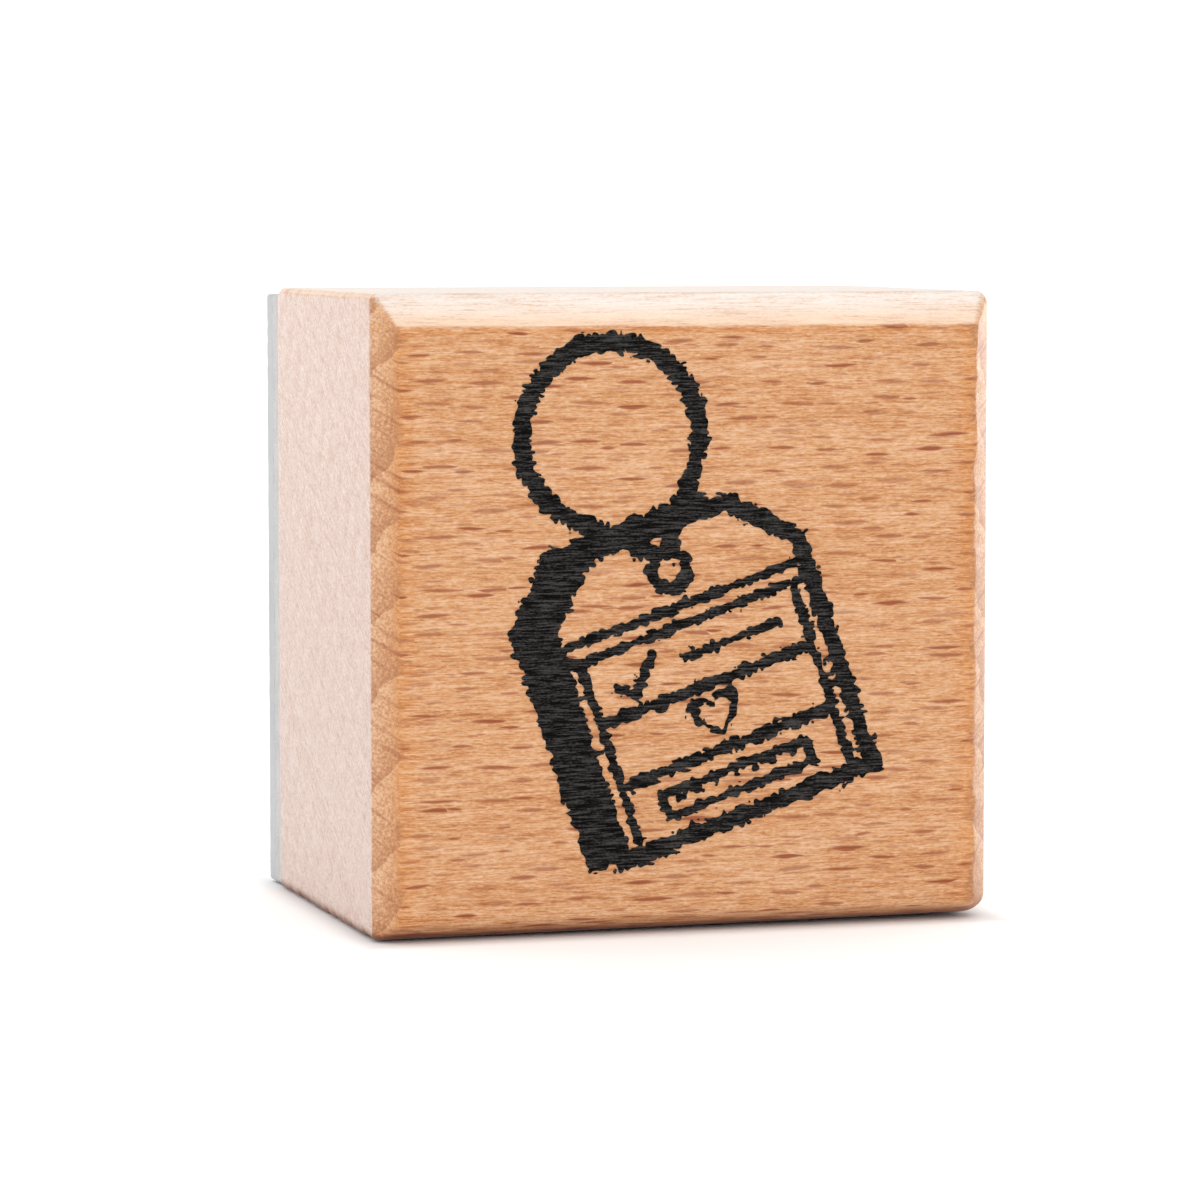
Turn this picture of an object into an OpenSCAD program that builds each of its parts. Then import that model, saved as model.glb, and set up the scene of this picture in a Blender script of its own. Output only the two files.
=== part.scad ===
// Wood-mounted rubber stamp, in millimetres.
// It stands on one long side, as on a shelf: +Z is up, the picture of the design faces -Y
// and the rubber die faces +Y. The origin is the middle of the footprint, on the surface.

/* [Block] */
// Width of the block, along the grain
block_w = 40.4; // [36:0.1:60]
// Height of the block as it stands
block_h = 40; // [39:0.1:60]
// Depth of the block, from picture to glue face
block_d = 27; // [15:0.5:40]
// Radius of the four long corners
corner_r = 0.4; // [0.2:0.1:1]
// Depth of the bevels round the picture face
bevel_d = 1.6; // [0.8:0.1:2.5]
// Width of the left bevel on the picture face
bevel_left = 1.4; // [0.8:0.1:2.5]
// Width of the right bevel on the picture face
bevel_right = 1.4; // [0.8:0.1:2.5]
// Width of the top bevel on the picture face
bevel_top = 2.1; // [0.8:0.1:2.5]
// Width of the bottom bevel on the picture face
bevel_bottom = 1.2; // [0.8:0.1:2.5]

/* [Layers] */
// Thickness of the printed ink
ink_t = 0.05; // [0.02:0.01:0.1]
// Thickness of each adhesive film
film_t = 0.1; // [0.05:0.01:0.2]
// Thickness of the foam cushion
foam_t = 1.6; // [1:0.1:4]
// Thickness of the die under its raised lines
die_base_t = 1.6; // [1:0.1:3]
// Height of the die's raised lines
relief_h = 0.9; // [0.5:0.1:1.2]
// Gap from the sheets' sides to the block's sides
side_gap = 0.1; // [0:0.05:1]
// Gap from the sheets' lower edge to the block's lower side
lower_gap = 0.15; // [0.1:0.05:1]
// Gap from the sheets' upper edge to the block's upper side
upper_gap = 0.45; // [0:0.05:1]

/* [Picture] */
// Lean of the tag from upright, in degrees
tag_lean = 19; // [0:1:22]
// Lean of the string's loop from the tag, in degrees
loop_lean = 5; // [-10:1:10]
// Sideways place of the tag's centre
tag_x = 0.7; // [-2:0.1:2]
// Height of the tag's centre above the block's lower side
tag_z = 16.4; // [16:0.1:18]
// Width of the tag
tag_w = 18.4; // [16:0.1:19]
// Height of the tag
tag_h = 20; // [19:0.1:20.5]
// Size of the tag's two clipped corners
clip = 4; // [2:0.1:5]
// Width of the tag's outline
outline = 1.1; // [0.8:0.1:1.4]
// Throw of the tag's shadow to the left
shadow_x = 1.8; // [0.5:0.1:2]
// Throw of the tag's shadow upwards
shadow_y = 0.6; // [0.2:0.1:1]
// Width of the string
string = 1.1; // [0.6:0.05:1.4]
// Width of the fine lines
fine = 0.55; // [0.4:0.05:0.7]
// Width of the lines between the rows
rule = 0.7; // [0.5:0.05:0.9]

/* [Hidden] */

// Each layer starts where the last one ends, from the ink at the front to the die's printing face.
stack_d = ink_t + block_d + film_t + foam_t + film_t + die_base_t + relief_h;
ink_y = -stack_d / 2;
block_y = ink_y + ink_t;
film_1_y = block_y + block_d;
foam_y = film_1_y + film_t;
film_2_y = foam_y + foam_t;
die_y = film_2_y + film_t;
relief_y = die_y + die_base_t;

sheet_w = block_w - 2 * side_gap;
sheet_h = block_h - lower_gap - upper_gap;
cut_over = 1; // how far the bevel cutters pass the block

// The tag's own heights, measured from its centre
tag_top = tag_h / 2;
eyelet_y = tag_top - 3.3;
eyelet_r = 1.5;
eyelet_hole_r = 0.7;
header_y = tag_top - 5.6;
header_pitch = 1.15;

// The rows of the tag lie between the header and the outline's lower side
rows_top = header_y - header_pitch - fine / 2;
rows_bottom = outline - tag_h / 2;
row_count = 3;
row_h = (rows_top - rows_bottom - (row_count - 1) * rule) / row_count;
row_ys = [for (i = [0:row_count - 1]) rows_top - row_h / 2 - i * (row_h + rule)];

inner_w = tag_w - 2 * outline;
side_line_gap = 0.5; // the bare strip between the outline and the line inside it
row_w = inner_w - 2 * (side_line_gap + fine);

// The string's loop: a round end on two straight runs that meet in the eyelet
loop_length = 15.6;
loop_r = 6.3;
loop_centre = loop_length - loop_r; // from the eyelet
loop_steps = 40;

heart_w = 3.4;
heart_line = 0.6;
ruler_w = 10.5;
ruler_h = 2;
ruler_marks = 7;
mark_h = 0.9;
mark_w = 0.4;

// Corner arcs of a rectangle that stands on the X axis, centred on X
function rounded(w, h, r, steps = 5) = [
    for (corner = [0:3])
        for (i = [0:steps])
            let (a = 90 * corner + 90 * i / steps)
            let (sx = (corner == 0 || corner == 3) ? 1 : -1)
            let (sy = corner < 2 ? 1 : -1)
            [sx * (w / 2 - r) + r * cos(a), h / 2 + sy * (h / 2 - r) + r * sin(a)]
];

// A rectangle about the origin whose two upper corners are clipped, drawn in by inset
function clipped(w, h, c, inset) =
    let (x = w / 2 - inset)
    let (y = h / 2 - inset)
    let (k = c - inset * (2 - sqrt(2)))
    [[-x, -y], [x, -y], [x, y - k], [x - k, y], [k - x, y], [-x, y - k]];

// A loop's outline, drawn in by inset: an arc whose end tangents meet on the Y axis
function teardrop(r, centre, inset) =
    let (open = acos(r / centre))
    let (turn = 360 - 2 * open)
    concat(
        [[0, inset * centre / r]],
        [
            for (i = [0:loop_steps])
                let (a = open - 90 + turn * i / loop_steps)
                [(r - inset) * cos(a), centre + (r - inset) * sin(a)]
        ]
    );

// The usual heart curve, scaled to a width and centred on its height
function heart(w, steps = 36) = [
    for (i = [0:steps - 1])
        let (a = 360 * i / steps)
        w / 32 * [16 * pow(sin(a), 3), 2.5 + 13 * cos(a) - 5 * cos(2 * a) - 2 * cos(3 * a) - cos(4 * a)]
];

module bar(x, y, w, h) {
    translate([x - w / 2, y - h / 2])
        square([w, h]);
}

module frame_2d(w, h, line) {
    difference() {
        square([w, h], center = true);
        square([w - 2 * line, h - 2 * line], center = true);
    }
}

// The string's two ends meet in the eyelet's ring, and the eyelet's hole stays open
module string_and_eyelet_2d() {
    translate([0, eyelet_y])
        difference() {
            union() {
                rotate(loop_lean)
                    difference() {
                        polygon(teardrop(loop_r, loop_centre, 0));
                        polygon(teardrop(loop_r, loop_centre, string));
                    }
                circle(eyelet_r, $fn = 32);
            }
            circle(eyelet_hole_r, $fn = 32);
        }
}

module tag_2d() {
    difference() {
        union() {
            polygon(clipped(tag_w, tag_h, clip, 0));
            translate([-shadow_x, shadow_y])
                polygon(clipped(tag_w, tag_h, clip, 0));
        }
        polygon(clipped(tag_w, tag_h, clip, outline));
    }
}

module tag_lines_2d() {
    side_line_x = (row_w + fine) / 2;
    for (i = [0:1])
        bar(0, header_y - i * header_pitch, inner_w + fine, fine);
    for (i = [0:row_count - 2])
        bar(0, row_ys[i] - (row_h + rule) / 2, row_w + fine, rule);
    for (side = [-1, 1])
        bar(side * side_line_x, (rows_top + rows_bottom) / 2, fine, rows_top - rows_bottom + fine);
}

// A tick whose corner is at the origin
module tick_2d(arm, foot, line) {
    rotate(48) {
        translate([-line / 2, -line / 2])
            square([line, foot + line / 2]);
        translate([-line / 2, -line / 2])
            square([arm + line / 2, line]);
    }
}

module tick_row_2d() {
    tick_x = -4.6;
    tick_drop = 1.1; // from the row's middle line to the tick's corner
    line_x0 = -1;
    line_x1 = 5.8;
    translate([tick_x, row_ys[0] - tick_drop])
        tick_2d(3, 1.5, 0.6);
    bar((line_x0 + line_x1) / 2, row_ys[0], line_x1 - line_x0, fine);
}

module heart_row_2d() {
    translate([0, row_ys[1]])
        difference() {
            polygon(heart(heart_w));
            polygon(heart(heart_w - 2 * heart_line));
        }
}

module ruler_row_2d() {
    pitch = ruler_w / (ruler_marks + 1);
    translate([0, row_ys[2]]) {
        frame_2d(ruler_w, ruler_h, fine);
        for (i = [1:ruler_marks])
            bar(i * pitch - ruler_w / 2, (ruler_h - mark_h) / 2, mark_w, mark_h);
    }
}

// The whole design as the stamp prints it, seen from the picture side
module design_2d() {
    translate([tag_x, tag_z])
        rotate(tag_lean) {
            string_and_eyelet_2d();
            tag_2d();
            tag_lines_2d();
            tick_row_2d();
            heart_row_2d();
            ruler_row_2d();
        }
}

// Turns a shape drawn in X and Y upright, so that it fills depth d from y onwards
module upright(y, d) {
    translate([0, y + d, 0])
        rotate([90, 0, 0])
            linear_extrude(d)
                children();
}

module sheet(y, d) {
    translate([-sheet_w / 2, y, lower_gap])
        cube([sheet_w, d, sheet_h]);
}

// A wedge along Z that takes a bevel of width w off an edge where X and Y meet
module bevel_cutter(w, length) {
    slope = bevel_d / w;
    translate([0, 0, -cut_over])
        linear_extrude(length + 2 * cut_over)
            polygon([
                [w + cut_over, -cut_over * slope],
                [-cut_over, bevel_d + cut_over * slope],
                [-cut_over, -cut_over * slope],
            ]);
}

module wood_block() {
    color("burlywood")
        difference() {
            upright(block_y, block_d)
                polygon(rounded(block_w, block_h, corner_r));
            translate([-block_w / 2, block_y, 0])
                bevel_cutter(bevel_left, block_h);
            translate([block_w / 2, block_y, 0])
                mirror([1, 0, 0])
                    bevel_cutter(bevel_right, block_h);
            translate([-block_w / 2, block_y, 0])
                rotate([0, 90, 0])
                    mirror([1, 0, 0])
                        bevel_cutter(bevel_bottom, block_w);
            translate([-block_w / 2, block_y, block_h])
                rotate([0, 90, 0])
                    bevel_cutter(bevel_top, block_w);
        }
}

module index_print() {
    color("black")
        upright(ink_y, ink_t)
            design_2d();
}

module block_adhesive() {
    color("ivory")
        sheet(film_1_y, film_t);
}

module foam_cushion() {
    color("gainsboro")
        sheet(foam_y, foam_t);
}

module die_adhesive() {
    color("ivory")
        sheet(film_2_y, film_t);
}

module rubber_die() {
    color("lightslategray") {
        sheet(die_y, die_base_t);
        upright(relief_y, relief_h)
            design_2d();
    }
}

wood_block();
index_print();
block_adhesive();
foam_cushion();
die_adhesive();
rubber_die();
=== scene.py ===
"""The looks of a wood-mounted rubber stamp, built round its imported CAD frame.

Places and sizes are worked out in millimetres from the frame's boxes, and turned into metres
where a mesh is made. The axes are the frame's: +X runs along the wood's grain, -Y is the side
with the printed picture, +Y the side with the rubber die, and +Z is up.
"""
import math

import bpy
import numpy as np
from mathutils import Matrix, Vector, geometry


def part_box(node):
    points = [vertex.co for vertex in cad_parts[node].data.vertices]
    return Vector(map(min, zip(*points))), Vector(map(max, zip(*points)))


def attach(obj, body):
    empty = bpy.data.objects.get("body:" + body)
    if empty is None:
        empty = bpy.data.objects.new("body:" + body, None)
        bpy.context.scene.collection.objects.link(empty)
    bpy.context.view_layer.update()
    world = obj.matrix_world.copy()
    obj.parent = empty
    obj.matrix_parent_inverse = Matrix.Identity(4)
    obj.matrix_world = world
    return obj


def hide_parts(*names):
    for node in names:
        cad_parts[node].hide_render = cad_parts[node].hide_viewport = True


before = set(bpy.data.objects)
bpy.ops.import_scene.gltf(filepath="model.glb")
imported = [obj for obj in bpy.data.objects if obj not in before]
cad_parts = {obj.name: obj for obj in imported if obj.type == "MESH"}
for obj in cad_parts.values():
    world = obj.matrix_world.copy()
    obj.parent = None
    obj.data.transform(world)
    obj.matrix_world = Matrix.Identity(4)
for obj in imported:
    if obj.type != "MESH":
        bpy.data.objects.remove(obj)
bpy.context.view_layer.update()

MM = 0.001
BODY = "root"

# ---------------------------------------------------------------- numbers from the frame


def box_mm(node):
    low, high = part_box(node)
    return np.array(low) / MM, np.array(high) / MM


WOOD_LOW, WOOD_HIGH = box_mm("wood_block")
INK_LOW, INK_HIGH = box_mm("index_print")
DIE_LOW, DIE_HIGH = box_mm("rubber_die")
FRONT_Y = WOOD_LOW[1]
BEVEL_DEPTH = 1.6
BEVEL_WIDTHS = {"right": 1.4, "top": 2.1, "left": 1.4, "bottom": 1.2}


def flat_faces(node, y):
    """The triangles of a CAD node that lie in the plane at y, as an (n, 3, 2) array of X and Z."""
    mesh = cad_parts[node].data
    corners = np.array([v.co for v in mesh.vertices]) / MM
    faces = np.array([list(p.vertices) for p in mesh.polygons if len(p.vertices) == 3])
    triangles = corners[faces]
    in_plane = np.abs(triangles[:, :, 1] - y).max(axis=1) < 0.001
    return triangles[in_plane][:, :, [0, 2]]


def outline_of(triangles):
    """The edges that only one triangle has, as an (n, 2, 2) array of ends."""
    seen = {}
    for triangle in np.round(triangles, 4):
        ends = [tuple(p) for p in triangle]
        for a, b in zip(ends, ends[1:] + ends[:1]):
            seen.setdefault(frozenset((a, b)), []).append((a, b))
    return np.array([e[0] for e in seen.values() if len(e) == 1])


# ---------------------------------------------------------------- noise


def lattice_value(key):
    """A fixed number from -1 to 1 for each whole number in key."""
    k = key.astype(np.uint64)
    k = (k ^ (k >> np.uint64(33))) * np.uint64(0xFF51AFD7ED558CCD)
    k = (k ^ (k >> np.uint64(33))) * np.uint64(0xC4CEB9FE1A85EC53)
    k = k ^ (k >> np.uint64(33))
    return (k >> np.uint64(11)).astype(float) / 2**52 - 1


def noise(seed, *coords):
    """Smooth noise from -1 to 1 with bumps one unit apart."""
    coords = np.broadcast_arrays(*[np.asarray(c, float) for c in coords])
    cells = [np.floor(c).astype(np.int64) for c in coords]
    eased = [(c - n) ** 2 * (3 - 2 * (c - n)) for c, n in zip(coords, cells)]
    total = np.zeros(coords[0].shape)
    for corner in range(2 ** len(coords)):
        weight = np.ones(coords[0].shape)
        key = np.full(coords[0].shape, seed, np.int64)
        for axis, (cell, t) in enumerate(zip(cells, eased)):
            up = corner >> axis & 1
            weight = weight * (t if up else 1 - t)
            key = key * 40503 + cell + up + 100000
        total += weight * lattice_value(key)
    return total


# ---------------------------------------------------------------- flat shapes


def distance_field(edges, xs, zs, reach):
    """Distance to a closed outline on a grid, below zero inside it and no more than reach."""
    gx, gz = np.meshgrid(xs, zs)
    inside = np.zeros(gx.shape, bool)
    far = np.full(gx.shape, float(reach))
    for (ax, az), (bx, bz) in edges:
        rows = (zs >= min(az, bz)) & (zs < max(az, bz))
        if rows.any():
            cross = ax + (zs[rows] - az) * (bx - ax) / (bz - az)
            inside[rows] ^= xs[None, :] > cross[:, None]
        i0, i1 = np.searchsorted(xs, [min(ax, bx) - reach, max(ax, bx) + reach])
        j0, j1 = np.searchsorted(zs, [min(az, bz) - reach, max(az, bz) + reach])
        px, pz = gx[j0:j1, i0:i1], gz[j0:j1, i0:i1]
        length_2 = max((bx - ax) ** 2 + (bz - az) ** 2, 1e-12)
        t = np.clip(((px - ax) * (bx - ax) + (pz - az) * (bz - az)) / length_2, 0, 1)
        away = np.hypot(px - ax - t * (bx - ax), pz - az - t * (bz - az))
        far[j0:j1, i0:i1] = np.minimum(far[j0:j1, i0:i1], away)
    return np.where(inside, -far, far)


# For each pattern of corners below the level: the cell edges that a contour enters and leaves by.
CELL_PATHS = {
    1: [(0, 3)], 2: [(1, 0)], 3: [(1, 3)], 4: [(2, 1)], 5: [(0, 3), (2, 1)],
    6: [(2, 0)], 7: [(2, 3)], 8: [(3, 2)], 9: [(0, 2)], 10: [(1, 0), (3, 2)],
    11: [(1, 2)], 12: [(3, 1)], 13: [(0, 1)], 14: [(3, 0)],
}


def contours(field, xs, zs, level):
    """Closed loops where a field on a grid equals the level, with lower values on their left."""
    below = field < level
    pattern = below[:-1, :-1] + 2 * below[:-1, 1:] + 4 * below[1:, 1:] + 8 * below[1:, :-1]
    corners = [(0, 0), (0, 1), (1, 1), (1, 0)]
    follows, places = {}, {}

    def crossing(j, i, edge):
        """The key of a crossing on a cell's edge: its two grid points in a fixed order."""
        (j0, i0), (j1, i1) = corners[edge], corners[(edge + 1) % 4]
        a, b = sorted([(j + j0, i + i0), (j + j1, i + i1)])
        if (a, b) not in places:
            t = (level - field[a]) / (field[b] - field[a])
            places[a, b] = (
                xs[a[1]] + t * (xs[b[1]] - xs[a[1]]),
                zs[a[0]] + t * (zs[b[0]] - zs[a[0]]),
            )
        return a, b

    for j, i in zip(*np.nonzero((pattern > 0) & (pattern < 15))):
        for enter, leave in CELL_PATHS[int(pattern[j, i])]:
            follows[crossing(j, i, enter)] = crossing(j, i, leave)
    loops = []
    while follows:
        start, here = follows.popitem()
        loop = [places[start]]
        while here != start:
            loop.append(places[here])
            here = follows.pop(here)
        loops.append(np.array(loop))
    return loops


def loop_area(loop):
    x, z = loop.T
    return 0.5 * np.sum(x * np.roll(z, -1) - z * np.roll(x, -1))


def resampled(loop, step):
    """A closed loop's points, about one step apart."""
    closed = np.vstack([loop, loop[:1]])
    along = np.concatenate([[0], np.cumsum(np.hypot(*np.diff(closed, axis=0).T))])
    count = max(6, round(along[-1] / step))
    places = np.arange(count) * along[-1] / count
    return np.column_stack([np.interp(places, along, closed[:, k]) for k in (0, 1)])


def filled(loops):
    """Triangles inside the loops: points, triangles, each point's loop, loops round each one."""
    loops = [loop if loop_area(loop) > 0 else loop[::-1] for loop in loops]
    points = np.vstack(loops)
    starts = np.cumsum([0] + [len(loop) for loop in loops])
    rings = [list(range(a, b)) for a, b in zip(starts, starts[1:])]
    loop_of = np.repeat(np.arange(len(loops)), [len(loop) for loop in loops])
    verts, _, faces, from_points, _, from_rings = geometry.delaunay_2d_cdt(
        [Vector(p) for p in points], [], rings, 1, 1e-7, True
    )
    owner = [loop_of[ids[0]] if ids else 0 for ids in from_points]
    kept = [(face, len(around)) for face, around in zip(faces, from_rings) if around]
    return np.array([v[:] for v in verts]), [k[0] for k in kept], owner, [k[1] for k in kept]


# ---------------------------------------------------------------- meshes


def add_piece(name, verts, faces, stands_for, material, sharp_angle=None):
    """Makes a mesh object from points in millimetres and gives it its place in the frame."""
    mesh = bpy.data.meshes.new(name)
    mesh.from_pydata((np.asarray(verts) * MM).tolist(), [], [list(f) for f in faces])
    mesh.validate()
    mesh.shade_smooth()
    if sharp_angle:
        mesh.set_sharp_from_angle(angle=math.radians(sharp_angle))
    piece = bpy.data.objects.new(name, mesh)
    bpy.context.scene.collection.objects.link(piece)
    mesh.materials.append(material)
    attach(piece, BODY)
    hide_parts(stands_for)
    return piece


def upright(points, y):
    """Points in X and Z, placed at depth y."""
    return np.column_stack([points[:, 0], np.broadcast_to(y, len(points)), points[:, 1]])


def rim_edges(faces):
    """The edges of a patch of triangles that only one of them has, in its own direction."""
    edges = {(f[k], f[(k + 1) % len(f)]) for f in faces for k in range(len(f))}
    return [e for e in edges if (e[1], e[0]) not in edges]


def slab(points, faces, y_front, y_back):
    """A flat shape made solid between two depths."""
    n = len(points)
    verts = np.vstack([upright(points, y_front), upright(points, y_back)])
    back = [[n + i for i in reversed(f)] for f in faces]
    sides = [[b, a, n + a, n + b] for a, b in sorted(rim_edges(faces))]
    return verts, [list(f) for f in faces] + back + sides


def loft(rings):
    """A skin over rings of equally many points, which run anticlockwise seen from -Y."""
    n = len(rings[0])
    verts = np.vstack(rings)
    faces = []
    for k in range(len(rings) - 1):
        for i in range(n):
            j = (i + 1) % n
            faces.append([k * n + j, k * n + i, (k + 1) * n + i, (k + 1) * n + j])
    return verts, faces


def cap(ring, first, facing_back):
    """Triangles that close a ring of points in X and Z, numbered from first."""
    _, faces, _, _ = filled([ring])
    return [[first + i for i in (reversed(f) if facing_back else f)] for f in faces]


def rounded_rectangle(low, high, radius, step):
    """Points round a rectangle in X and Z, anticlockwise, and each one's outward direction."""
    points, outward = [], []
    centres = [(high[0] - radius, high[1] - radius, 0), (low[0] + radius, high[1] - radius, 90),
               (low[0] + radius, low[1] + radius, 180), (high[0] - radius, low[1] + radius, 270)]
    arc_steps = max(3, round(math.pi / 2 * radius / step))
    for k, (cx, cz, turn) in enumerate(centres):
        for s in range(arc_steps + 1):
            a = math.radians(turn + 90 * s / arc_steps)
            points.append((cx + radius * math.cos(a), cz + radius * math.sin(a)))
            outward.append((math.cos(a), math.sin(a)))
        nx, nz, next_turn = centres[(k + 1) % 4]
        a = math.radians(next_turn)
        start = np.array(points[-1])
        end = np.array((nx + radius * math.cos(a), nz + radius * math.sin(a)))
        count = max(1, round(np.hypot(*(end - start)) / step))
        for s in range(1, count):
            points.append(tuple(start + (end - start) * s / count))
            outward.append((math.cos(a), math.sin(a)))
    return np.array(points), np.array(outward)


# ---------------------------------------------------------------- materials


class Graph:
    """A short way to write a material: each call adds one node and returns its output."""

    def __init__(self, name):
        self.material = bpy.data.materials.new(name)
        self.material.use_nodes = True
        self.tree = self.material.node_tree
        self.shader = self.tree.nodes["Principled BSDF"]

    def put(self, socket, value):
        if isinstance(value, bpy.types.NodeSocket):
            self.tree.links.new(value, socket)
        elif value is not None:
            socket.default_value = value

    def node(self, kind, inputs=(), **settings):
        node = self.tree.nodes.new(kind)
        for key, value in settings.items():
            setattr(node, key, value)
        for key, value in dict(inputs).items():
            self.put(node.inputs[key], value)
        return node

    def math(self, operation, a, b=None, c=None):
        inputs = {0: a, 1: b, 2: c}
        return self.node("ShaderNodeMath", inputs, operation=operation).outputs[0]

    def add(self, a, b):
        return self.math("ADD", a, b)

    def subtract(self, a, b):
        return self.math("SUBTRACT", a, b)

    def times(self, a, b):
        return self.math("MULTIPLY", a, b)

    def muladd(self, a, b, c):
        """a times b, plus c."""
        return self.math("MULTIPLY_ADD", a, b, c)

    def vector(self, x, y, z):
        return self.node("ShaderNodeCombineXYZ", {0: x, 1: y, 2: z}).outputs[0]

    def place(self):
        """X, Y and Z of the surface in millimetres."""
        where = self.node("ShaderNodeTexCoord").outputs["Object"]
        parts = self.node("ShaderNodeSeparateXYZ", {0: where})
        return [self.times(parts.outputs[k], 1 / MM) for k in range(3)]

    def normal(self):
        """The parts of the surface's direction along X, Y and Z."""
        facing = self.node("ShaderNodeTexCoord").outputs["Normal"]
        return self.node("ShaderNodeSeparateXYZ", {0: facing}).outputs

    def noise(self, vector, detail=2.0, roughness=0.5):
        inputs = {"Vector": vector, "Scale": 1.0, "Detail": detail, "Roughness": roughness}
        return self.node("ShaderNodeTexNoise", inputs).outputs["Fac"]

    def step(self, value, low, high):
        """Rises smoothly from 0 at low to 1 at high."""
        inputs = {"Value": value, "From Min": low, "From Max": high}
        return self.node("ShaderNodeMapRange", inputs, interpolation_type="SMOOTHSTEP").outputs[0]

    def blend(self, share, a, b, blend_type="MIX"):
        """Colour a turning into colour b as share goes from 0 to 1."""
        node = self.node("ShaderNodeMix", data_type="RGBA", blend_type=blend_type)
        self.put(node.inputs[0], share)
        self.put(node.inputs[6], a)
        self.put(node.inputs[7], b)
        return node.outputs[2]

    def ramp(self, value, *stops):
        """A colour from a row of (place, colour) stops."""
        node = self.node("ShaderNodeValToRGB", {0: value})
        elements = node.color_ramp.elements
        while len(elements) < len(stops):
            elements.new(0.5)
        for element, (where, colour) in zip(elements, stops):
            element.position = where
            element.color = colour
        return node.outputs[0]

    def bump(self, height, depth_mm, strength=1.0):
        """A surface direction from a height of 0 to 1 that stands for depth_mm."""
        inputs = {"Height": height, "Distance": depth_mm * MM, "Strength": strength}
        return self.node("ShaderNodeBump", inputs).outputs[0]

    def finish(self, colour, roughness, normal=None, **constants):
        self.put(self.shader.inputs["Base Color"], colour)
        self.put(self.shader.inputs["Roughness"], roughness)
        self.put(self.shader.inputs["Normal"], normal)
        for key, value in constants.items():
            self.put(self.shader.inputs[key.replace("_", " ")], value)
        return self.material


def rgb(r, g, b):
    return (r, g, b, 1.0)


RAY_RISE = 0.65  # the rays climb this much for each millimetre towards the die
RING_WIDTH = 2.7


def ray_flecks(g, x, v, cell, size, seed, fray):
    """Beech's dark ray ends: thin spindles along the grain, one in each cell of a loose grid."""
    wander = g.noise(g.vector(g.times(x, 0.22), g.times(v, 0.5), seed), detail=1.0)
    u = g.math("DIVIDE", x, cell[0])
    w = g.math("DIVIDE", g.muladd(wander, 0.5, v), cell[1])
    spots = g.node("ShaderNodeTexVoronoi", {"Vector": g.vector(g.add(u, seed), w, 0.0),
                                            "Scale": 1.0, "Randomness": 0.9},
                   voronoi_dimensions="2D")
    middle = g.node("ShaderNodeSeparateXYZ", {0: spots.outputs["Position"]})
    pick = g.node("ShaderNodeSeparateColor", {0: spots.outputs["Color"]})
    along = g.times(g.subtract(g.add(u, seed), middle.outputs[0]), cell[0])
    across = g.times(g.subtract(w, middle.outputs[1]), cell[1])
    half_length = g.muladd(pick.outputs[0], size[0], size[0] * 0.55)
    half_width = g.times(half_length, g.muladd(pick.outputs[1], 0.6, 0.7))
    half_width = g.muladd(half_width, size[1] * 0.6 / size[0], size[1] * 0.4)
    lens = g.math("POWER", g.math("ABSOLUTE", g.math("DIVIDE", along, half_length)), 2.0)
    lens = g.add(lens, g.math("ABSOLUTE", g.math("DIVIDE", across, half_width)))
    inside = g.subtract(g.muladd(fray, 2.4, 1.0), lens)
    strength = g.muladd(pick.outputs[2], 0.6, 0.46)
    return g.times(g.step(inside, -0.15, 0.7), strength)


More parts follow.
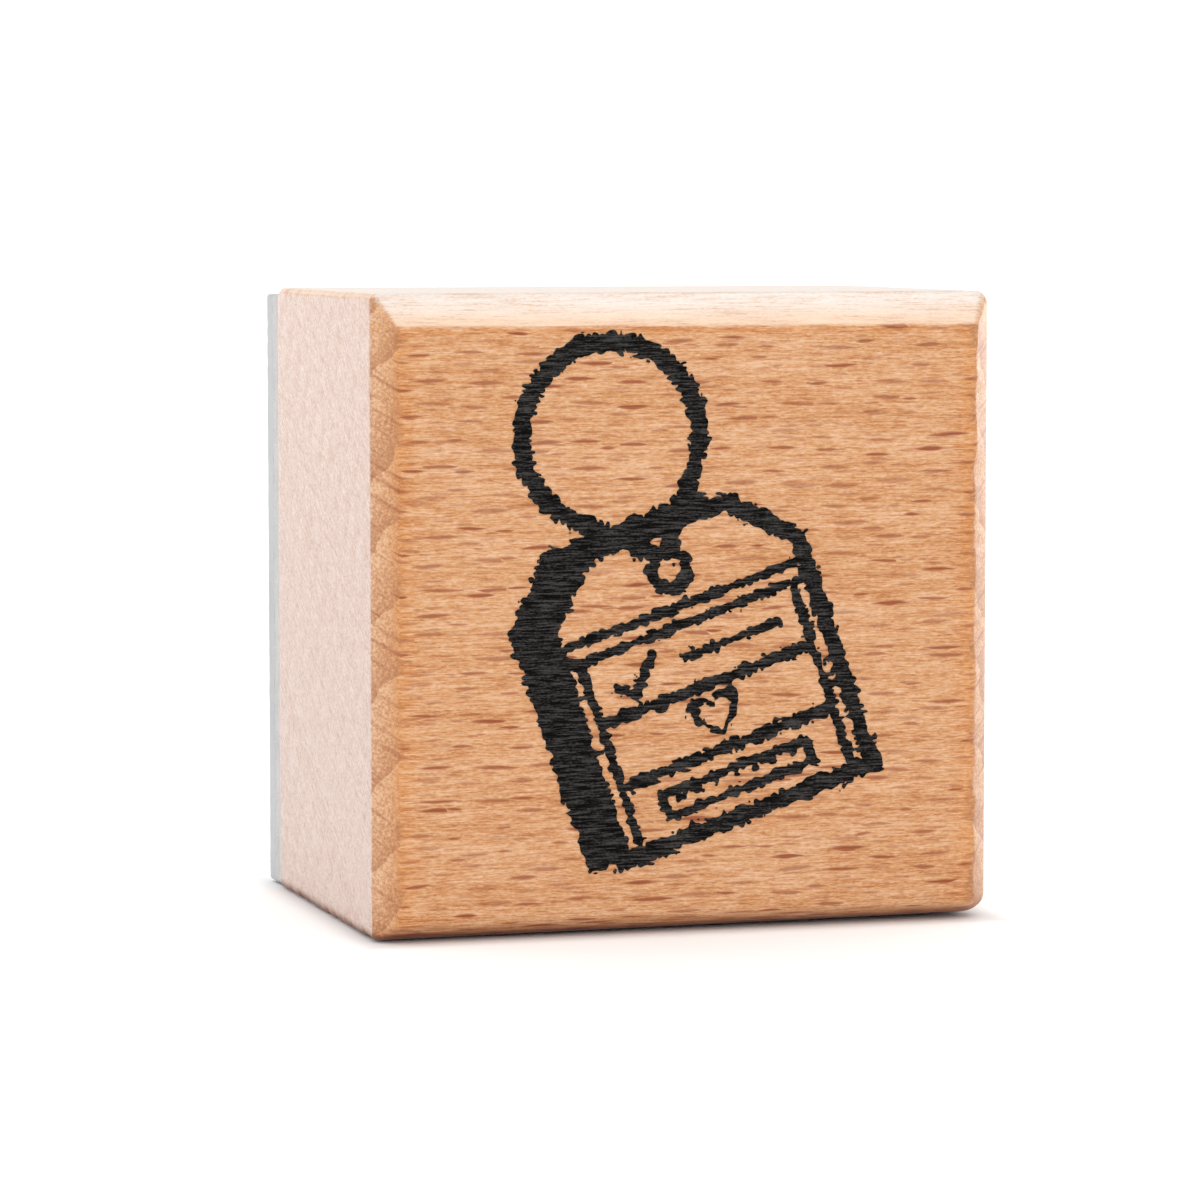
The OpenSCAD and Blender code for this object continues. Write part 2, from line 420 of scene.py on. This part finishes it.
def wood_material():
    """Sanded beech as a solid texture, so its rays and rings carry on round the edges."""
    g = Graph("beech")
    x, y, z = g.place()
    facing = g.normal()
    depth = g.subtract(y, float(FRONT_Y))
    v = g.muladd(depth, -RAY_RISE, z)

    fibre = g.noise(g.vector(g.times(x, 0.35), g.times(y, 8.0), g.times(z, 8.0)), 2.0, 0.8)
    pores = g.noise(g.vector(g.times(x, 3.0), g.times(y, 12.0), g.times(z, 12.0)), 1.0, 0.7)
    band = g.noise(g.vector(g.times(x, 0.12), g.times(y, 1.6), g.times(z, 1.6)), 1.0, 0.5)
    cloud = g.noise(g.vector(g.times(x, 0.06), g.times(y, 0.3), g.times(z, 0.3)), 2.0, 0.5)
    stipple = g.noise(g.vector(g.times(x, 2.5), g.times(y, 6.0), g.times(z, 6.0)), 2.0, 0.75)
    mottle = g.noise(g.vector(g.times(x, 2.0), g.times(y, 3.2), g.times(z, 6.5)), 2.0, 0.8)

    ring = g.times(g.muladd(z, RAY_RISE, depth), 1 / math.hypot(1, RAY_RISE) / RING_WIDTH)
    ring = g.math("FRACT", g.muladd(cloud, 1.2, g.muladd(fibre, 0.08, ring)))
    late = g.math("POWER", g.subtract(1.0, ring), 1.6)

    rim = picture_rim(g, x, z)
    inner = g.muladd(late, -0.45, g.math("MINIMUM", rim["left"], rim["right"]))
    inner = g.muladd(g.subtract(stipple, 0.5), 1.2, inner)
    end_grain = g.subtract(1.0, g.step(inner, -0.55, 0.05))
    fray = g.subtract(fibre, 0.5)
    upward = g.step(g.muladd(fray, 0.6, facing[2]), 0.15, 0.62)
    end_grain = g.times(end_grain, g.subtract(1.0, upward))
    side_face = g.step(g.math("ABSOLUTE", facing[0]), 0.85, 0.98)

    tone = g.muladd(g.subtract(fibre, 0.5), 1.9, 0.6)
    tone = g.muladd(g.subtract(pores, 0.5), 1.3, tone)
    tone = g.muladd(g.subtract(band, 0.5), 0.65, tone)
    tone = g.muladd(g.subtract(cloud, 0.5), 0.25, tone)
    tone = g.muladd(late, -0.12, tone)
    long_grain = g.ramp(tone, (0.0, rgb(0.42, 0.142, 0.030)), (0.5, rgb(0.60, 0.289, 0.119)),
                        (1.0, rgb(0.73, 0.455, 0.28)))
    # Faces that look up get a paler copy of the grain: a painted highlight for the glare from
    # above.
    top_painted_highlight = g.ramp(tone, (0.0, rgb(0.60, 0.38, 0.23)), (0.4, rgb(0.70, 0.57, 0.48)),
                        (1.0, rgb(0.77, 0.715, 0.66)))

    end_tone = g.muladd(g.subtract(stipple, 0.5), 2.4, 0.76)
    end_tone = g.muladd(late, -0.6, end_tone)
    end_colour = g.ramp(end_tone, (0.0, rgb(0.41, 0.19, 0.09)), (0.5, rgb(0.55, 0.285, 0.148)),
                        (1.0, rgb(0.72, 0.465, 0.295)))

    streak = g.noise(g.vector(x, g.times(ring, 2.2), g.times(v, 4.5)), 3.0, 0.6)
    side_tone = g.muladd(g.subtract(stipple, 0.5), 1.4, 0.6)
    side_tone = g.muladd(g.subtract(mottle, 0.5), 2.0, side_tone)
    side_tone = g.muladd(g.subtract(streak, 0.5), 2.0, side_tone)
    side_tone = g.muladd(late, -0.2, side_tone)
    # Painted shade and light: darker towards the top of the end faces, lighter towards the bottom.
    side_tone = g.muladd(g.subtract(z, float(WOOD_HIGH[2]) / 2), -0.008, side_tone)
    # The end faces get a paler, pinker copy of the end grain: a painted sheen for the grazing light
    # on them. The dark splits below are real.
    side_grain_painted_sheen = g.ramp(side_tone, (0.0, rgb(0.47, 0.275, 0.185)), (0.5, rgb(0.577, 0.405, 0.333)),
                         (1.0, rgb(0.65, 0.515, 0.455)))
    split = g.noise(g.vector(x, g.times(y, 3.0), g.times(z, 1.1)), 2.0, 0.7)
    split = g.times(g.step(split, 0.62, 0.72), 0.8)
    side_grain_painted_sheen = g.blend(split, side_grain_painted_sheen, rgb(0.44, 0.215, 0.11))

    # painted highlight: upward faces take the paler copy of the grain
    colour = g.blend(upward, long_grain, top_painted_highlight)
    # warm tints the painted highlight orange towards the picture face
    warm = g.times(upward, g.step(g.muladd(fray, 1.5, rim["top"]), -1.7, 0.0))
    colour = g.blend(g.times(warm, 0.9), colour, rgb(1.0, 0.77, 0.54), "MULTIPLY")
    colour = g.blend(end_grain, colour, end_colour)
    # painted sheen: the end faces take the paler copy of the end grain
    colour = g.blend(side_face, colour, side_grain_painted_sheen)

    broad = ray_flecks(g, x, v, (3.3, 1.1), (1.05, 0.14), 3.7, fray)
    small = ray_flecks(g, x, v, (1.9, 0.75), (0.65, 0.085), 11.3, fray)
    fleck = g.math("MAXIMUM", broad, g.times(small, 0.55))
    fleck = g.times(fleck, g.muladd(side_face, -0.8, 1.0))
    fleck = g.times(fleck, g.muladd(end_grain, -0.5, 1.0))
    fleck = g.times(fleck, g.subtract(1.0, upward))
    colour = g.blend(g.times(fleck, 0.95), colour, rgb(0.275, 0.054, 0.005))
    colour = burnished(g, colour, rim, g.subtract(1.0, upward), facing, fibre)
    # Painted shade along the bottom, where the block meets the table.
    colour = painted_contact_shade(g, colour, z, facing, fibre)

    height = g.muladd(fibre, 0.7, g.times(pores, 0.3))
    height = g.muladd(fleck, -0.25, height)
    roughness = g.muladd(pores, 0.2, 0.32)
    normal = g.bump(height, 0.035, 0.8)
    return g.finish(colour, roughness, normal, Specular_IOR_Level=0.45,
                    Sheen_Weight=0.2, Sheen_Roughness=0.3)


def picture_rim(g, x, z):
    """How far in a place lies from each edge of the picture face; below zero on the bevels."""
    return {
        "left": g.subtract(x, float(WOOD_LOW[0]) + BEVEL_WIDTHS["left"]),
        "right": g.subtract(float(WOOD_HIGH[0]) - BEVEL_WIDTHS["right"] - 0.2, x),
        "top": g.subtract(float(WOOD_HIGH[2]) - BEVEL_WIDTHS["top"], z),
    }


def burnished(g, colour, rim, upright_share, facing, fibre):
    """Sanding has warmed the wood along the picture face's rim and the end faces' edges."""
    sides = g.math("ABSOLUTE", g.math("MINIMUM", rim["left"], rim["right"]))
    top = g.times(g.math("ABSOLUTE", rim["top"]), 2.2)
    inside = g.muladd(g.subtract(fibre, 0.5), 3.0, g.math("MINIMUM", sides, top))
    band = g.subtract(1.0, g.step(inside, 0.0, 1.7))
    band = g.times(band, g.step(g.times(facing[1], -1.0), 0.4, 0.75))
    colour = g.blend(g.times(g.times(band, upright_share), 0.75), colour,
                     rgb(0.97, 0.80, 0.52), "MULTIPLY")
    edge = g.math("ABSOLUTE", g.times(facing[0], facing[2]))
    edge = g.step(g.muladd(g.subtract(fibre, 0.5), 1.2, edge), 0.16, 0.45)
    return g.blend(edge, colour, rgb(0.95, 0.73, 0.52), "MULTIPLY")


def painted_contact_shade(g, colour, z, facing, fibre):
    """Painted shade where the block meets the table: a soft darker band below the picture and a
    fine dark line along the bottom.
    """
    height = g.muladd(g.subtract(fibre, 0.5), 0.5, z)
    front = g.step(g.times(facing[1], -1.0), 0.1, 0.5)
    band = g.times(front, g.subtract(1.0, g.step(height, 0.0, 0.95)))
    line = g.subtract(1.0, g.step(height, 0.25, 0.85))
    # painted shade: the soft band darkens the lower picture side towards the table
    colour = g.blend(band, colour, rgb(0.84, 0.56, 0.33), "MULTIPLY")
    # painted shade: the fine dark line along every bottom edge
    return g.blend(line, colour, rgb(0.38, 0.22, 0.13), "MULTIPLY")


def ink_material():
    g = Graph("printing_ink")
    x, y, z = g.place()
    ripple = g.noise(g.vector(g.times(x, 0.5), 0.0, g.times(z, 7.0)), 2.0, 0.8)
    speckle = g.noise(g.vector(g.times(x, 5.0), 0.0, g.times(z, 9.0)), 1.0, 0.6)
    # Painted light and shade: the ink's colour follows the ripple of its bump, lighter on the
    # ridges and darker in the furrows.
    tone = g.muladd(g.subtract(speckle, 0.5), 1.0, g.muladd(g.subtract(ripple, 0.5), 3.0, 0.5))
    colour = g.ramp(tone, (0.32, rgb(0.0004, 0.0002, 0.0002)), (0.5, rgb(0.013, 0.0115, 0.0107)),
                    (0.9, rgb(0.050, 0.047, 0.045)))
    roughness = g.muladd(speckle, 0.25, 0.45)
    normal = g.bump(g.muladd(ripple, 0.85, g.times(speckle, 0.15)), 0.06, 1.0)
    return g.finish(colour, roughness, normal, Specular_IOR_Level=0.06)


def adhesive_material():
    g = Graph("adhesive_film")
    x, y, z = g.place()
    smear = g.noise(g.vector(g.times(x, 2.0), g.times(y, 9.0), g.times(z, 2.0)), 3.0, 0.6)
    colour = g.ramp(smear, (0.3, rgb(0.42, 0.415, 0.40)), (0.7, rgb(0.52, 0.515, 0.50)))
    return g.finish(colour, g.muladd(smear, 0.2, 0.4), g.bump(smear, 0.01, 0.5),
                    Specular_IOR_Level=0.3)


def foam_material():
    """Closed-cell foam: tiny cells that the knife has opened at the cut edge."""
    g = Graph("cushion_foam")
    x, y, z = g.place()
    warp = g.noise(g.vector(x, y, z), 2.0, 0.5)
    cells = g.node("ShaderNodeTexVoronoi", {"Vector": g.vector(x, g.muladd(warp, 0.4, y), z),
                                            "Scale": 9.0, "Randomness": 1.0})
    pit = g.step(cells.outputs["Distance"], 0.1, 0.75)
    cloud = g.noise(g.vector(g.times(x, 0.4), y, g.times(z, 0.4)), 3.0, 0.5)
    tone = g.muladd(pit, 0.35, g.times(cloud, 0.65))
    colour = g.ramp(tone, (0.15, rgb(0.43, 0.415, 0.405)), (0.5, rgb(0.545, 0.53, 0.52)),
                    (0.85, rgb(0.64, 0.625, 0.61)))
    return g.finish(colour, 0.85, g.bump(pit, 0.05, 0.6), Specular_IOR_Level=0.2)


def rubber_material():
    """Grey stamp rubber: smooth printing faces, and a matt floor left by the engraving."""
    g = Graph("stamp_rubber")
    x, y, z = g.place()
    low = g.step(g.subtract(float(DIE_HIGH[1]), y), 0.2, 0.6)
    grain = g.noise(g.vector(g.times(x, 6.0), g.times(y, 6.0), g.times(z, 6.0)), 3.0, 0.6)
    cloud = g.noise(g.vector(g.times(x, 0.25), g.times(y, 0.25), g.times(z, 0.25)), 3.0, 0.5)
    raster = g.math("SINE", g.muladd(z, 2 * math.pi / 0.17, g.times(grain, 2.0)))
    tone = g.muladd(g.subtract(grain, 0.5), 0.5, g.muladd(g.subtract(cloud, 0.5), 0.35, 0.5))
    tone = g.muladd(low, -0.08, tone)
    colour = g.ramp(tone, (0.2, rgb(0.40, 0.41, 0.42)), (0.5, rgb(0.50, 0.51, 0.52)),
                    (0.8, rgb(0.58, 0.59, 0.60)))
    height = g.muladd(g.times(raster, low), 0.12, grain)
    roughness = g.muladd(low, 0.2, g.muladd(grain, 0.15, 0.45))
    return g.finish(colour, roughness, g.bump(height, 0.02, 0.6), Specular_IOR_Level=0.25)


def floor_material():
    """A white table with painted light: it glows a little, but not under or just beside the block,
    where the missing glow is a painted shadow.
    """
    g = Graph("pale_floor")
    x, y, z = g.place()
    cloud = g.noise(g.vector(g.times(x, 0.02), g.times(y, 0.02), 0.0), 2.0, 0.5)
    colour = g.ramp(cloud, (0.0, rgb(0.87, 0.865, 0.86)), (1.0, rgb(0.89, 0.887, 0.884)))
    beside = g.subtract(g.math("ABSOLUTE", x), float(WOOD_HIGH[0]))
    before = g.subtract(g.math("ABSOLUTE", y), float(DIE_HIGH[1]))
    # Painted light and shadow: the glow fades out within about 2 mm of the block's edge.
    painted_glow = g.times(g.step(g.math("MAXIMUM", beside, before), -0.2, 2.0), 0.22)
    return g.finish(colour, 0.6, Specular_IOR_Level=0.15, Emission_Color=rgb(1.0, 1.0, 1.0),
                    Emission_Strength=painted_glow)


# ---------------------------------------------------------------- wood block

# How round each bevel's edge with the picture face and its edge with the block's side are
EDGE_RADII = {"right": (0.45, 0.5), "top": (0.6, 0.4), "left": (0.35, 0.3), "bottom": (1.1, 1.2)}
BACK_RADIUS = 0.16
CORNER_RADII = [0.75, 0.45, 0.5, 1.5]  # top right, top left, bottom left and bottom right
LONG_STEPS = 70  # rings along the block between its bevels and its back
FILLET_STEPS = 5


def filleted(points, radii, steps):
    """A bent line in 2D with each inner corner replaced by an arc."""
    path = [np.array(points[0], float)]
    for a, b, c, radius in zip(points, points[1:], points[2:], radii):
        a, b, c = (np.array(p, float) for p in (a, b, c))
        u, w = (a - b) / np.hypot(*(a - b)), (c - b) / np.hypot(*(c - b))
        half = math.acos(np.clip(u @ w, -1, 1)) / 2
        reach = radius / math.tan(half)
        centre = b + (u + w) / np.hypot(*(u + w)) * radius / math.sin(half)
        start, end = b + u * reach - centre, b + w * reach - centre
        turn = math.acos(np.clip(start @ end / radius**2, -1, 1))
        for s in range(steps + 1):
            t = s / steps
            mix = (math.sin((1 - t) * turn) * start + math.sin(t * turn) * end) / math.sin(turn)
            path.append(centre + mix)
    path.append(np.array(points[-1], float))
    return path


def bevel_profile(side, depth):
    """How far one side lies inside the block's outline, and how deep, from front to back."""
    width, inner = BEVEL_WIDTHS[side], 0.6
    corners = [(width + inner, 0), (width, 0), (0, BEVEL_DEPTH), (0, depth), (inner, depth)]
    return filleted(corners, [*EDGE_RADII[side], BACK_RADIUS], FILLET_STEPS)


def make_wood_block(material):
    depth = WOOD_HIGH[1] - WOOD_LOW[1]
    fillet = [1] * FILLET_STEPS
    counts = [2, *fillet, 5, *fillet, LONG_STEPS, *fillet, 2]
    lines = []
    for side in ("right", "top", "left", "bottom"):
        path = bevel_profile(side, depth)
        line = [path[0]]
        for a, b, count in zip(path, path[1:], counts):
            line += [a + (b - a) * s / count for s in range(1, count + 1)]
        lines.append(line)
    rings = []
    for stage in zip(*lines):
        inset, deep = zip(*stage)
        low = WOOD_LOW[[0, 2]] + [inset[2], inset[3]]
        high = WOOD_HIGH[[0, 2]] - [inset[0], inset[1]]
        shrink = 1 - 0.6 * min(1.0, max(inset) / 2)
        rings.append(worn(lifted(scalloped(block_ring(low, high, deep, shrink)))))
    count = len(rings[0])
    verts, faces = loft(rings)
    faces += cap(rings[0][:, [0, 2]], 0, False)
    faces += cap(rings[-1][:, [0, 2]], len(verts) - count, True)
    return add_piece("wood_body", verts, faces, "wood_block", material)


def block_ring(low, high, deep, shrink, per_side=150, per_corner=9):
    """One ring round the block; each side has its own depth, shared out round the corners."""
    radii = [shrink * radius for radius in CORNER_RADII]
    centres = [(high[0] - radii[0], high[1] - radii[0]), (low[0] + radii[1], high[1] - radii[1]),
               (low[0] + radii[2], low[1] + radii[2]), (high[0] - radii[3], low[1] + radii[3])]
    points = []
    for k in range(4):
        after = (k + 1) % 4
        for s in range(per_corner + 1):
            a = math.radians(90 * (k + s / per_corner))
            y = deep[k] + (deep[after] - deep[k]) * s / per_corner
            points.append((centres[k][0] + radii[k] * math.cos(a), y,
                           centres[k][1] + radii[k] * math.sin(a)))
        start = np.array(points[-1])
        end = np.array((centres[after][0] + radii[after] * math.cos(a), deep[after],
                        centres[after][1] + radii[after] * math.sin(a)))
        points += [tuple(start + (end - start) * s / per_side) for s in range(1, per_side)]
    points = np.array(points)
    points[:, 1] += FRONT_Y
    return points


FLAT_HALF = 16.0  # nearer the middle of the picture face than this, nothing is moved


def scalloped(ring):
    """The bevels bite unevenly into the grain, so their edges on the picture face wander."""
    x, y, z = ring.T
    fade = np.clip(1 - (y - FRONT_Y) / BEVEL_DEPTH, 0, 1)
    side = np.clip((np.abs(x) - FLAT_HALF) / 1.5, 0, 1)
    top = np.clip((np.abs(z - WOOD_HIGH[2] / 2) - FLAT_HALF) / 1.5, 0, 1)
    bite = side * (0.12 * noise(8, z / 1.5) + 0.06 * noise(9, z / 0.6))
    nibble = top * 0.04 * noise(10, x / 2.5)
    return ring - np.column_stack([np.sign(x) * fade * bite, 0 * y, fade * nibble])


def lifted(ring):
    """The lower side rises off the table towards the picture face, most of all at the right."""
    x, y, z = ring.T
    share = np.clip(1 - z / 1.2, 0, 1) * np.clip(1 - (y - FRONT_Y) / 8, 0, 1)
    rise = 0.27 + 0.12 * x / WOOD_HIGH[0]
    return ring + np.column_stack([0 * x, 0 * y, rise * share])


EDGE_ZONE = 0.93  # where the worn zone by an edge starts, as a share of the half-size


def worn(ring):
    """Sanding never leaves an edge quite straight: each point gives way a little inwards."""
    x, y, z = ring.T
    wave = 0.5 + 0.5 * noise(5, x / 2.3, y / 2.3, z / 2.3)
    nick = 0.5 + 0.5 * noise(6, x / 0.7, y / 0.7, z / 0.7)
    middle = (WOOD_LOW + WOOD_HIGH) / 2
    half = (WOOD_HIGH - WOOD_LOW) / 2
    out = (ring - middle) / half
    near = np.clip((np.sort(np.abs(out), axis=1)[:, 1] - EDGE_ZONE) / (1 - EDGE_ZONE), 0, 1) ** 2
    give = near * (0.03 * wave + 0.03 * nick)
    chip = np.clip(noise(7, y / 0.4, np.round(z / 40)) - 0.1, 0, 1)
    ends = (np.abs(out[:, 0]) > 0.97) & (np.abs(out[:, 2]) > 0.97)
    give += ends * 0.11 * chip
    return ring - np.sign(out) * (np.abs(out) > EDGE_ZONE) * give[:, None]


# ---------------------------------------------------------------- printed picture

INK_GRID = 0.05
INK_REACH = 1.2


def widest(field, cells):
    """The greatest value within so many grid cells of each place."""
    for axis in (0, 1):
        field = np.max([np.roll(field, k, axis) for k in range(-cells, cells + 1)], axis=0)
    return field


def ink_loops():
    """The picture's outline as a worn stamp prints it on wood: torn along the grain."""
    edges = outline_of(flat_faces("index_print", INK_LOW[1]))
    margin = 0.8
    xs = np.arange(INK_LOW[0] - margin, INK_HIGH[0] + margin, INK_GRID)
    zs = np.arange(INK_LOW[2] - margin, INK_HIGH[2] + margin, INK_GRID)
    field = distance_field(edges, xs, zs, INK_REACH)
    gx, gz = np.meshgrid(xs, zs)
    tear = 0.13 - 0.42 * np.abs(noise(21, gx / 0.42, gz / 0.34))
    tear += 0.05 * noise(22, gx / 0.2, gz / 0.16) + 0.15 * noise(23, gx / 0.65, gz / 0.5)
    bold = np.clip(widest(-field, 12) / 0.4, 0.5, 1.0)
    spatter = np.clip(noise(24, gx / 0.2, gz / 0.2) - 0.88, 0, 1) * 6.0
    loops = contours(field + bold * tear - spatter * (np.abs(field) < 0.4), xs, zs, 0.02)
    return [resampled(loop, 0.06) for loop in loops if abs(loop_area(loop)) > 0.006]


def make_index_print(material):
    points, faces, _, depth = filled(ink_loops())
    faces = [f for f, d in zip(faces, depth) if d % 2]
    verts, solid = slab(points, faces, INK_LOW[1], INK_HIGH[1])
    return add_piece("printed_picture", verts, solid, "index_print", material, 50)


# ---------------------------------------------------------------- sheets behind the block


def cut_sheet(name, node, material, corner, rough, bow, seed, rows=7):
    """A sheet with knife-cut sides: a little rough, and drawn in by bow at mid-thickness."""
    low, high = box_mm(node)
    flat, outward = rounded_rectangle(low[[0, 2]], high[[0, 2]], corner, 0.2)
    rings = []
    for t in np.linspace(0, 1, rows):
        y = low[1] + t * (high[1] - low[1])
        give = 0.5 + 0.5 * noise(seed, flat[:, 0] / 0.5, y / 0.3, flat[:, 1] / 0.5)
        give = rough * give + bow * 4 * t * (1 - t)
        rings.append(upright(flat - outward * give[:, None], y))
    verts, faces = loft(rings)
    faces += cap(rings[0][:, [0, 2]], 0, False)
    faces += cap(rings[-1][:, [0, 2]], len(verts) - len(flat), True)
    return add_piece(name, verts, faces, node, material, 50)


# ---------------------------------------------------------------- rubber die

RELIEF = 0.9
DIE_GRID = 0.09
# Distance outside a raised line, and how far the rubber has dropped there, in mm
SHOULDER = [(-0.07, 0.0), (0.0, 0.05), (0.05, 0.25), (0.12, 0.6), (0.24, RELIEF)]


def make_rubber_die(material):
    base_top = DIE_HIGH[1] - RELIEF
    edges = outline_of(flat_faces("rubber_die", DIE_HIGH[1]))
    xs = np.arange(INK_LOW[0] - 1, INK_HIGH[0] + 1, DIE_GRID)
    zs = np.arange(INK_LOW[2] - 1, INK_HIGH[2] + 1, DIE_GRID)
    field = distance_field(edges, xs, zs, 0.8)
    flat, outward = rounded_rectangle(DIE_LOW[[0, 2]], DIE_HIGH[[0, 2]], 0.18, 0.2)

    def edge_ring(y):
        give = 0.5 + 0.5 * noise(41, flat[:, 0] / 0.5, y / 0.35, flat[:, 1] / 0.5)
        return flat - outward * 0.03 * give[:, None]

    loops, drops = [edge_ring(base_top)], [RELIEF]
    for away, drop in SHOULDER:
        for loop in contours(field, xs, zs, away):
            if abs(loop_area(loop)) > 0.02:
                loops.append(resampled(loop, 0.14))
                drops.append(drop)
    points, faces, owner, _ = filled(loops)
    top = upright(points, DIE_HIGH[1] - np.array([drops[k] for k in owner]))
    faces = [list(reversed(f)) for f in faces]
    back = [upright(edge_ring(y), y) for y in np.linspace(DIE_LOW[1], base_top, 8)[:-1]]
    count = len(flat)
    first = len(top)
    verts = np.vstack([top, *back])
    rings = [list(range(first + k * count, first + (k + 1) * count)) for k in range(len(back))]
    rings.append(list(range(count)))
    for lower, upper in zip(rings, rings[1:]):
        for i in range(count):
            j = (i + 1) % count
            faces.append([lower[j], lower[i], upper[i], upper[j]])
    faces += cap(back[0][:, [0, 2]], first, False)
    return add_piece("rubber_sheet", verts, faces, "rubber_die", material, 50)


# ---------------------------------------------------------------- camera, light and floor


def make_camera():
    """A long lens a little above the block, aimed slightly down at it."""
    data = bpy.data.cameras.new("camera")
    data.lens = 141.6
    data.sensor_width = 36.0
    data.clip_start = 0.01
    camera = bpy.data.objects.new("camera", data)
    bpy.context.scene.collection.objects.link(camera)
    camera.location = (-0.08967, -0.29440, 0.04455)
    camera.rotation_euler = (math.radians(90 - 4.62), 0.0, math.radians(-16.71))
    bpy.context.scene.camera = camera


PANEL_AIM = Vector((0.0, 0.0, 0.02))  # the middle of the block


def make_panel(name, direction, distance, size, radiance):
    """A soft square light that only shows as gloss; radiance is its brightness by the room's."""
    data = bpy.data.lights.new(name, "AREA")
    data.shape = "SQUARE"
    data.size = size
    data.energy = math.pi * size**2 * radiance
    light = bpy.data.objects.new(name, data)
    bpy.context.scene.collection.objects.link(light)
    light.location = PANEL_AIM + Vector(direction).normalized() * distance
    light.rotation_euler = Vector(direction).to_track_quat("Z", "Y").to_euler()
    light.visible_diffuse = False


def make_stage():
    half = 3.0
    mesh = bpy.data.meshes.new("floor")
    corners = [(-half, -half, 0), (half, -half, 0), (half, half, 0), (-half, half, 0)]
    mesh.from_pydata(corners, [], [(0, 1, 2, 3)])
    mesh.materials.append(floor_material())
    floor = bpy.data.objects.new("floor", mesh)
    bpy.context.scene.collection.objects.link(floor)
    world = bpy.data.worlds.new("white_room")
    bpy.context.scene.world = world
    world.use_nodes = True
    world.node_tree.nodes["Background"].inputs[0].default_value = rgb(1.0, 1.0, 1.0)
    world.node_tree.nodes["Background"].inputs[1].default_value = 1.2
    bpy.context.scene.view_settings.view_transform = "Standard"
    make_panel("panel_top", (0.29, -0.29, 0.91), 0.6, 0.25, 9.0)
    make_panel("panel_back_left", (-0.29, 0.95, 0.02), 0.7, 0.45, 1.3)
    make_panel("panel_back_right", (0.87, 0.48, 0.1), 0.7, 0.35, 5.0)


make_camera()
make_stage()
make_wood_block(wood_material())
make_index_print(ink_material())
film = adhesive_material()
cut_sheet("block_film", "block_adhesive", film, 0.2, 0.04, 0.0, 31, rows=3)
cushion = cut_sheet("foam_sheet", "foam_cushion", foam_material(), 0.22, 0.04, 0.05, 32)
cut_sheet("die_film", "die_adhesive", film, 0.2, 0.04, 0.0, 33, rows=3)
make_rubber_die(rubber_material())
